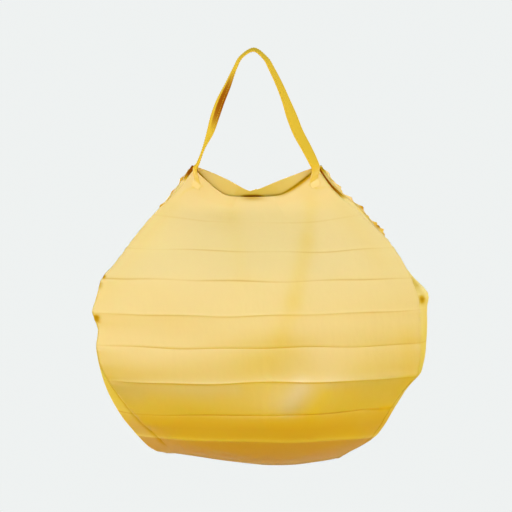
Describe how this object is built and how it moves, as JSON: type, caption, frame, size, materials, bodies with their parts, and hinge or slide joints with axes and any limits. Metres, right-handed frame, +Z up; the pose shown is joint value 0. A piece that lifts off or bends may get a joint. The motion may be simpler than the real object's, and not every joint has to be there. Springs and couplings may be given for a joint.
{
  "type": "foldable shopping bag",
  "caption": "Drop-shaped foldable shopping bag of thin cloth with pressed horizontal pleats, gathered sides, an open mouth and one twisted carrying strap.",
  "frame": {"origin": "underside of the strap at the top of its loop, where a hand or hook holds the hanging bag", "axes": "+Z up, -Y towards the front of the bag, +X to the viewer's right"},
  "size_m": [0.4558, 0.1767, 0.5691],
  "materials": {
    "pleated_cloth": "thin plain-woven polyester with pressed pleats, soft sheen",
    "strap_cloth": "the same cloth doubled and edge-stitched",
    "snap_plastic": "moulded, satin"
  },
  "bodies": {
    "root": {"front_panel": "pleated_cloth", "back_panel": "pleated_cloth", "gusset_left": "pleated_cloth", "gusset_right": "pleated_cloth", "side_ruffle_left": "pleated_cloth", "side_ruffle_right": "pleated_cloth", "handle_strap": "strap_cloth", "snap_fastener": "snap_plastic"}
  },
  "joints": []
}
